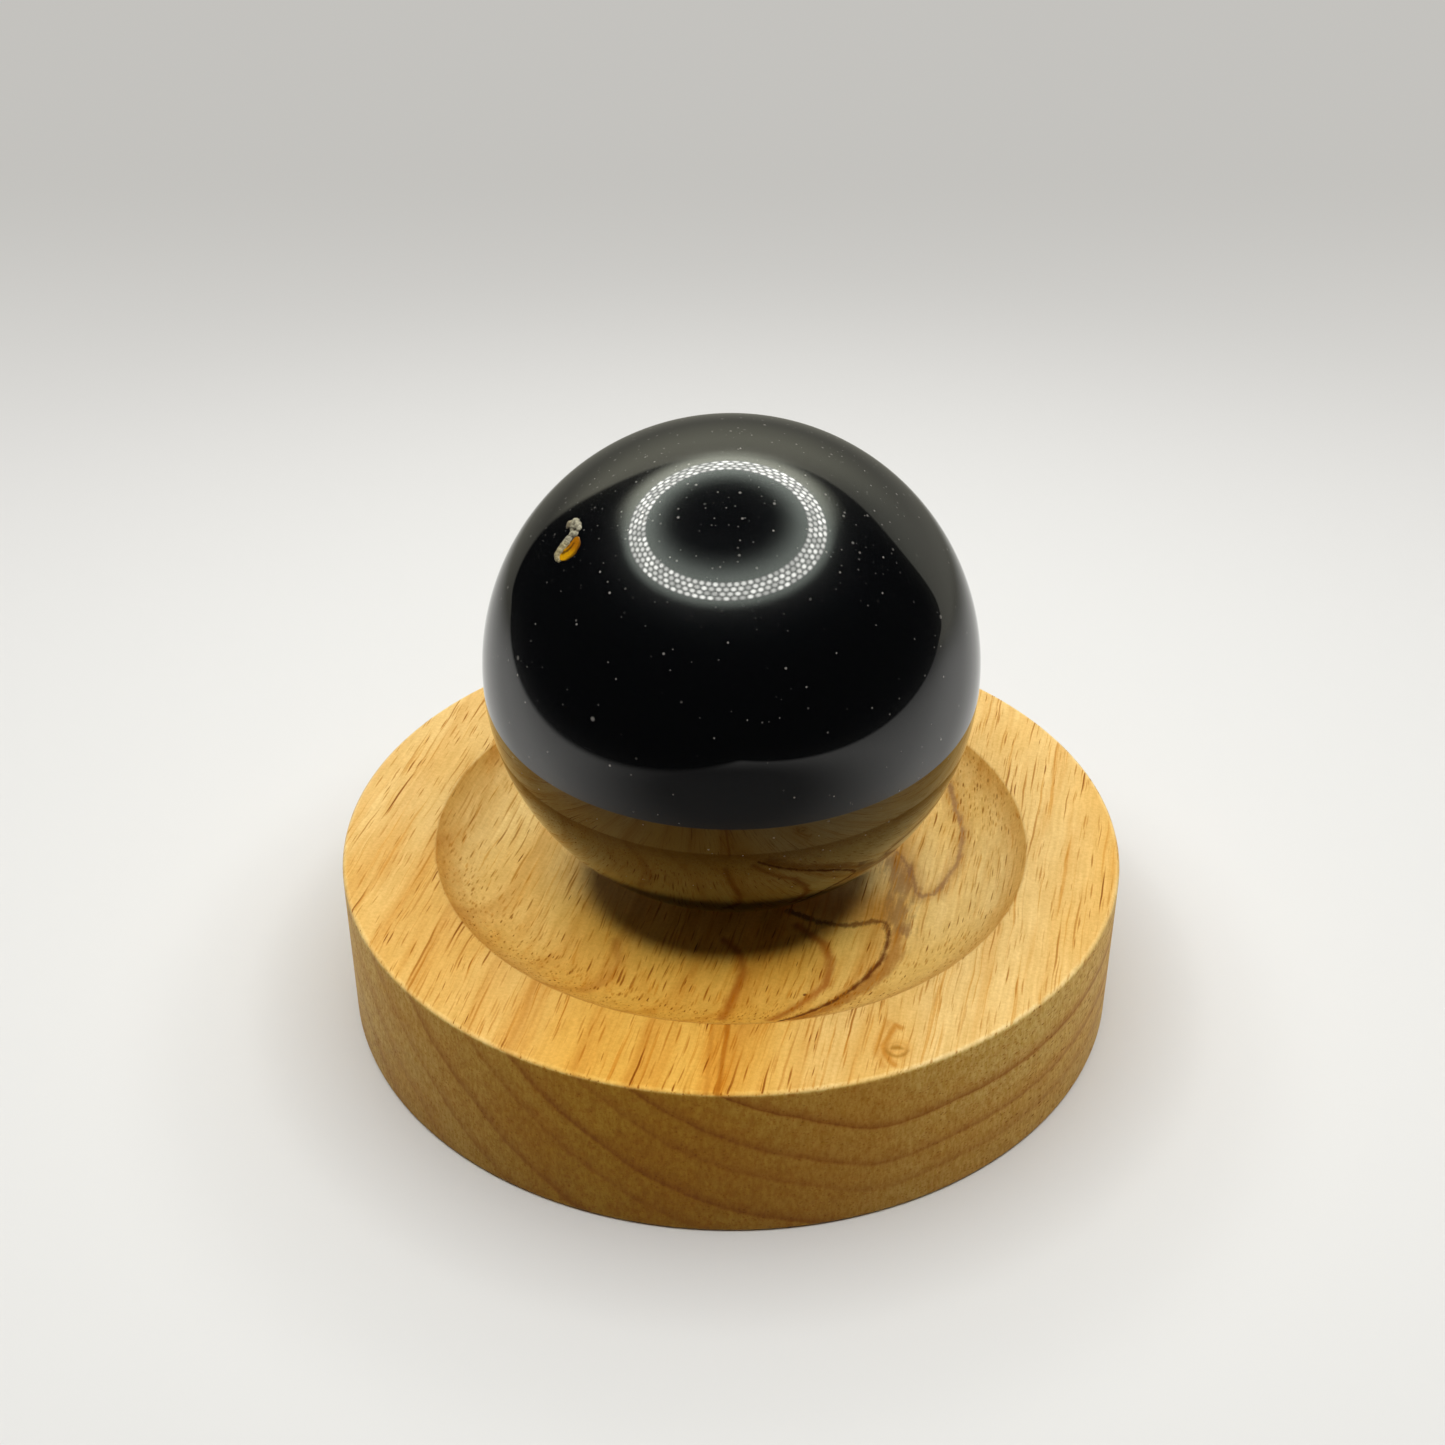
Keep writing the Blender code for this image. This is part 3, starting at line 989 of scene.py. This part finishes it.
roughness = WOOD_ROUGHNESS + FIBRE_ROUGHNESS * fibre + PORE_ROUGHNESS * pore - EDGE_SMOOTHNESS * edge
relief = FIBRE_RELIEF * fibre - pore
bump_sockets = {"Strength": RELIEF_STRENGTH, "Distance": RELIEF_DEPTH, "Height": relief}
wood_sockets = {
    "Base Color": colour,
    "Roughness": roughness,
    "Normal": wood.node("Bump", bump_sockets),
    "Specular IOR Level": WOOD_GLOSS,
}
wood_shader = wood.node("BsdfPrincipled", wood_sockets)
stand.data.materials.append(wood.surface(wood_shader))
print("wood of", len(wood.tree.nodes), "nodes")

# %% [markdown]
# ## The filling of the ball's pocket
#
# A small pocket in the stone is filled with two natural minerals: a clear amber bead and, round
# one end and one side of it, a knobbly white crust. Neither has a regular shape. Sculpting needs
# a brush, so each is grown from a few round lobes that are joined, wrapped in one skin and
# smoothed. They are made in millimetres about the pocket's own middle, with Z out of the stone.

# %% Lobes grown together
LOBE_FACETS = 4
LOBE_SINK = 0.22
SKIN_STEP = 0.06
SKIN_SOFTNESS = 0.5
SKIN_SMOOTHING = 4


def make_active(piece):
    bpy.ops.object.select_all(action="DESELECT")
    piece.select_set(True)
    bpy.context.view_layer.objects.active = piece


def apply_modifier(piece, kind, settings):
    """Adds a modifier to a piece, sets it up and applies it."""
    modifier = piece.modifiers.new("shape", kind)
    for name, setting in settings.items():
        setattr(modifier, name, setting)
    make_active(piece)
    bpy.ops.object.modifier_apply(modifier="shape")


def grow_lobes(name, lobes, height, grow=0.0):
    """One lump from lobes (x, y, radius), each height times as tall as it is wide."""
    made = []
    for x, y, radius in lobes:
        scale = (radius + grow, radius + grow, height * radius + grow)
        bpy.ops.mesh.primitive_ico_sphere_add(
            subdivisions=LOBE_FACETS, radius=1, location=(x, y, -LOBE_SINK), scale=scale
        )
        made.append(bpy.context.active_object)
    for lobe in made:
        lobe.select_set(True)
    bpy.ops.object.join()
    lump = bpy.context.active_object
    lump.name = name
    bpy.ops.object.transform_apply()
    apply_modifier(lump, "REMESH", {"mode": "VOXEL", "voxel_size": SKIN_STEP})
    apply_modifier(lump, "SMOOTH", {"factor": SKIN_SOFTNESS, "iterations": SKIN_SMOOTHING})
    print(name, "grown from", len(lobes), "lobes with", len(lump.data.polygons), "faces")
    return lump


print("lobes sink", LOBE_SINK, "mm under the polish")

# %% The amber bead
AMBER_LOBES = (
    (0.80, 0.40, 0.60), (0.95, -0.20, 0.90), (0.75, -0.80, 1.00), (0.35, -1.25, 0.90),
    (-0.08, -1.58, 0.64),
)
AMBER_HEIGHT = 0.75
AMBER_PROUD = 0.05
POLISH_FACETS = 6

bead = grow_lobes("amber_bead", AMBER_LOBES, AMBER_HEIGHT)
ball_radius_mm = ball_radius / MM
bpy.ops.mesh.primitive_ico_sphere_add(
    subdivisions=POLISH_FACETS, radius=ball_radius_mm + AMBER_PROUD, location=(0, 0, -ball_radius_mm)
)
polish = bpy.context.active_object
bpy.ops.object.transform_apply()
apply_modifier(bead, "BOOLEAN", {"operation": "INTERSECT", "object": polish})
bpy.data.objects.remove(polish, do_unlink=True)
print("bead ground flush:", len(bead.data.polygons), "faces")

# %% The white crust
CRUST_LOBES = (
    (-1.48, 2.40, 0.52), (-0.85, 2.64, 0.62), (-0.15, 2.30, 0.56), (0.28, 2.00, 0.44),
    (-1.70, 2.10, 0.34), (-0.75, 2.00, 0.50), (-0.50, 1.15, 0.46), (0.15, 1.22, 0.54),
    (-0.50, 0.55, 0.60), (-0.65, 0.05, 0.64), (-0.80, -0.45, 0.66), (-0.98, -0.95, 0.64),
    (-1.12, -1.45, 0.58), (-0.95, -1.90, 0.45), (-0.50, -2.15, 0.32),
)
CRUST_HEIGHT = 0.80
KNOBS_DEEP = 0.16
KNOBS_WIDE = 0.45
KNOBS_LEVEL = 0.5

crust = grow_lobes("crystal_crust", CRUST_LOBES, CRUST_HEIGHT)
knobs = bpy.data.textures.new("crust_knobs", "CLOUDS")
knobs.noise_scale = KNOBS_WIDE
knob_settings = {"texture": knobs, "strength": KNOBS_DEEP, "mid_level": KNOBS_LEVEL}
apply_modifier(crust, "DISPLACE", knob_settings)
apply_modifier(crust, "BOOLEAN", {"operation": "DIFFERENCE", "object": bead})
print("crust fitted round the bead:", len(crust.data.polygons), "faces")

# %% Set both in the pocket
POCKET_AZIMUTH = math.radians(-151.0)
POCKET_ELEVATION = math.radians(46.4)
POCKET_TURN = math.radians(23.0)
FILLING_GAP = 0.05
FILLING_SHARP = math.radians(40)

filling = grow_lobes("filling", AMBER_LOBES + CRUST_LOBES, CRUST_HEIGHT, FILLING_GAP)
pocket_upright = Euler((0, math.pi / 2 - POCKET_ELEVATION, POCKET_AZIMUTH)).to_matrix()
pocket_turned = pocket_upright @ Matrix.Rotation(math.pi / 2 + POCKET_TURN, 3, "Z")
pocket_outwards = pocket_upright @ Vector((0, 0, 1))
pocket_middle = ball_centre + ball_radius * pocket_outwards
pocket_place = Matrix.Translation(pocket_middle) @ pocket_turned.to_4x4() @ Matrix.Scale(MM, 4)
for piece in (bead, crust, filling):
    make_active(piece)
    piece.matrix_world = pocket_place
    bpy.ops.object.transform_apply()
    bpy.ops.object.shade_smooth_by_angle(angle=FILLING_SHARP)
for piece, node, slot in (
    (bead, "amber_grain", "amber_mineral"),
    (crust, "white_crust", "white_mineral"),
):
    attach(piece, "ball")
    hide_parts(node)
print("pocket at", in_mm(pocket_middle), "mm")

# %% [markdown]
# ## The ball
#
# The ball is ground and polished to a mirror from one lump of stone. A mirror shows every facet,
# so the ball starts as a fine icosphere, whose triangles are nearly alike and which has no poles.
# A UV sphere would pinch the highlight at its top. The pocket is then cut with the filling's own
# shape, a twentieth of a millimetre larger, so that the stone closes round the minerals.

# %% The polished ball
BALL_SUBDIVISIONS = 7
BALL_SHARP = math.radians(30)

bpy.ops.mesh.primitive_ico_sphere_add(
    subdivisions=BALL_SUBDIVISIONS, radius=ball_radius, location=ball_centre
)
ball = bpy.context.active_object
ball.name = "polished_ball"
bpy.ops.object.transform_apply()
apply_modifier(ball, "BOOLEAN", {"operation": "DIFFERENCE", "object": filling})
bpy.data.objects.remove(filling, do_unlink=True)
bpy.ops.object.shade_smooth_by_angle(angle=BALL_SHARP)
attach(ball, "ball")
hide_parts("stone_ball")
print("ball with its pocket has", len(ball.data.polygons), "faces")

# %% [markdown]
# ## The black stone
#
# The stone is glassy and nearly black, with pale grains scattered just under the polish. The
# mirror is a clear coat, as glass over ink. Under it a dull second gloss spreads a faint haze
# round the brightest lights, but not at a grazing look, where the coat mirrors nearly all. The
# grains come in three sizes from cells with one chance each, since a plain noise would make
# clouds of them.

# %% Pale grains in the stone
SPOT_CORE = 0.4
SPOT_FAINT = 0.25
CHANCE_SOFT = 0.02
COARSE_STRENGTH = 0.5
TOP_STRENGTH = 0.5

stone = Finish(bpy.data.materials.new("polished_black_stone"))
stone_place = stone.node("TexCoord", output="Object")


def grains(cell, share, smallest, largest):
    """Round pale grains in a share of cells of one width, each with its own size, in millimetres."""
    cells = stone.node("TexVoronoi", {"Vector": stone_place, "Scale": 1 / (MM * cell)})
    size, chance, brightness = stone.split(cells.beside("Color"))
    radius = between(smallest, largest, size * size) / cell
    spot = stone.step(cells / radius, 1.0, SPOT_CORE)
    chosen = stone.step(chance, 1 - share, 1 - share + CHANCE_SOFT)
    return spot * chosen * between(SPOT_FAINT, 1.0, brightness)


fine_grains = grains(cell=1.2, share=0.55, smallest=0.09, largest=0.20)
coarse_grains = grains(cell=3.0, share=0.30, smallest=0.20, largest=0.36)
# Painted light: a third size of grain is added near the top only, where the lamp's highlight makes
# grains show.
near_top = stone.step(stone.split(stone_place.beside("Normal"))[2], start=0.55, full=0.88)
top_grains_where_lit = grains(cell=0.95, share=1.00, smallest=0.09, largest=0.25) * near_top
grain_light = strongest((fine_grains, COARSE_STRENGTH * coarse_grains, TOP_STRENGTH * top_grains_where_lit))
print("grains of three sizes")

# %% The stone's finish
STONE_BLACK = (0.0014, 0.0016, 0.0018, 1)
STONE_GRAIN = (0.34, 0.32, 0.29, 1)
HAZE_ROUGHNESS = 0.24
HAZE_LEVEL = 0.10
MIRROR_ROUGHNESS = 0.022
MIRROR_IOR = 1.50
GRAZING_START = 0.45
GRAZING_FULL = 0.65


def polished(haze):
    """The stone under its clear coat, with the dull second gloss at one level."""
    sockets = {
        "Base Color": stone.mix(grain_light, STONE_BLACK, STONE_GRAIN),
        "Roughness": HAZE_ROUGHNESS,
        "Specular IOR Level": haze,
        "Coat Weight": 1.0,
        "Coat Roughness": MIRROR_ROUGHNESS,
        "Coat IOR": MIRROR_IOR,
    }
    return stone.node("BsdfPrincipled", sockets)


facing = stone.node("LayerWeight", output="Facing")
grazing = stone.step(facing, GRAZING_START, GRAZING_FULL)
stone_shader = stone.node("MixShader", {0: grazing, 1: polished(HAZE_LEVEL), 2: polished(0.0)})
ball.data.materials.append(stone.surface(stone_shader))
print("stone of", len(stone.tree.nodes), "nodes")

# %% [markdown]
# ## The two minerals
#
# The bead is clear amber, yellow at its foot and orange towards its head, with one brown streak
# inside. The crust is chalky white, with painted shade in its crevices, between its knobs and along
# its outer edge, and turns to cream along the bead.
# Their patterns are placed in the pocket's own axes, so a Mapping node turns them with the pocket.

# %% The pocket's own axes
IN_PLAN = (1, 1, 0)


def in_pocket(finish):
    """The place on a piece in millimetres along the pocket's own axes."""
    sockets = {
        "Vector": finish.node("TexCoord", output="Object"),
        "Location": pocket_middle,
        "Rotation": pocket_turned.to_euler(),
        "Scale": (MM, MM, MM),
    }
    return finish.node("Mapping", sockets, vector_type="TEXTURE")


print("pocket turned", round(math.degrees(POCKET_TURN)), "degrees")

# %% Amber
AMBER_YELLOW = (0.60, 0.30, 0.003, 1)
AMBER_ORANGE = (0.36, 0.130, 0.003, 1)
AMBER_FLECK = (0.055, 0.020, 0.003, 1)
AMBER_SPINE = ((0.75, 0.35), (0.90, -0.35), (0.50, -1.05), (-0.05, -1.50))
AMBER_STREAK = ((-0.40, -1.25), (0.05, -1.12), (0.55, -0.62), (0.80, 0.00))
AMBER_GLOSS = 0.3
AMBER_COAT = 0.3
AMBER_COAT_ROUGHNESS = 0.04
AMBER_ROUGHNESS = (0.14, 0.24)
AMBER_RELIEF = {"Strength": 0.3, "Distance": 0.05 * MM}

amber = Finish(bpy.data.materials.new("amber_mineral"))
place = in_pocket(amber)
in_plan = amber.node("Mapping", {"Vector": place, "Scale": IN_PLAN})
cloud = amber.noise(place, detail=3, scale=1.7) - NOISE_MIDDLE
vein = amber.noise(place, detail=4, roughness=0.7, scale=3.2)
headwards = amber.step(amber.split(place)[1] + 1.4 * cloud, start=-1.5, full=-0.2)
from_spine = to_line(AMBER_SPINE, in_plan) + 0.35 * cloud
from_streak = to_line(AMBER_STREAK, in_plan) + 0.5 * cloud
amber_layers = (
    (0.75, amber.step(from_spine, start=0.50, full=0.95), AMBER_FLECK),
    (0.85, amber.step(from_streak, start=0.30, full=0.04), AMBER_FLECK),
    (0.45, amber.step(abs(vein - NOISE_MIDDLE), start=0.05, full=0.0), AMBER_FLECK),
)
amber_sockets = {
    "Base Color": painted(amber.mix(headwards, AMBER_YELLOW, AMBER_ORANGE), amber_layers),
    "Roughness": between(*AMBER_ROUGHNESS, vein),
    "Normal": amber.node("Bump", {**AMBER_RELIEF, "Height": vein}),
    "Specular IOR Level": AMBER_GLOSS,
    "Coat Weight": AMBER_COAT,
    "Coat Roughness": AMBER_COAT_ROUGHNESS,
}
bead.data.materials.append(amber.surface(amber.node("BsdfPrincipled", amber_sockets)))
print("amber of", len(amber.tree.nodes), "nodes")

# %% Where the crust turns cream and tan, and where its crevices take painted shade
CREVICES = (
    ((-1.40, 1.80), (-0.73, 1.88), (0.05, 1.82)),
    ((-0.10, 1.75), (0.20, 1.62), (0.55, 1.60)),
    ((-0.60, 0.86), (-0.10, 0.84), (0.20, 0.80)),
)
CRUST_SPINE = (
    (-0.20, 1.20), (-0.40, 0.50), (-0.62, -0.35), (-0.92, -1.20), (-0.85, -1.75),
    (-0.45, -2.05),
)

white = Finish(bpy.data.materials.new("white_mineral"))
place = in_pocket(white)
in_plan = white.node("Mapping", {"Vector": place, "Scale": IN_PLAN})
aside, headwards, _ = white.split(place)
lump = white.noise(place, detail=4, roughness=0.6, scale=1.9)
lump_swing = lump - NOISE_MIDDLE
crumb = white.noise(place, detail=3, scale=7.0)
cream = white.step(headwards + 1.6 * lump_swing, start=0.5, full=-0.6)
tan = white.step(aside + 0.8 * lump_swing, start=-0.7, full=-1.5)
tan = tan * white.step(headwards, start=1.4, full=1.9)
from_spine = to_line(CRUST_SPINE, in_plan) + 0.5 * lump_swing
outer = white.step(from_spine, start=0.40, full=0.70) * white.step(headwards, start=1.4, full=0.9)
print(len(CREVICES), "crevices")

# %% White crust
CRUST_WHITE = (0.31, 0.285, 0.20, 1)
CRUST_TAN = (0.17, 0.135, 0.075, 1)
CRUST_CREAM = (0.30, 0.245, 0.115, 1)
CRUST_HOLLOW_SHADE = (0.035, 0.024, 0.012, 1)
CRUST_ROUGHNESS = (0.38, 0.63)
CRUST_RELIEF = {"Strength": 0.6, "Distance": 0.08 * MM}

colour = white.mix(0.75 * cream, CRUST_WHITE, CRUST_CREAM)
colour = white.mix(0.80 * tan, colour, CRUST_TAN)
# Painted shade: low places between the knobs, the crevices, the outer edge and fine pits are darkened
# nearly to black.
hollow_shades = [(0.60, white.step(lump, start=0.48, full=0.34), CRUST_HOLLOW_SHADE)]
for points in CREVICES:
    from_crevice = to_line(points, in_plan) + 0.4 * lump_swing
    hollow_shades.append((0.80, white.step(from_crevice, start=0.20, full=0.02), CRUST_HOLLOW_SHADE))
hollow_shades.append((0.75, outer, CRUST_HOLLOW_SHADE))
hollow_shades.append((0.30, white.step(crumb, start=0.55, full=0.40), CRUST_HOLLOW_SHADE))
crust_sockets = {
    "Base Color": painted(colour, hollow_shades),
    "Roughness": between(*CRUST_ROUGHNESS, crumb),
    "Normal": white.node("Bump", {**CRUST_RELIEF, "Height": crumb}),
}
crust.data.materials.append(white.surface(white.node("BsdfPrincipled", crust_sockets)))
print("crust of", len(white.tree.nodes), "nodes")
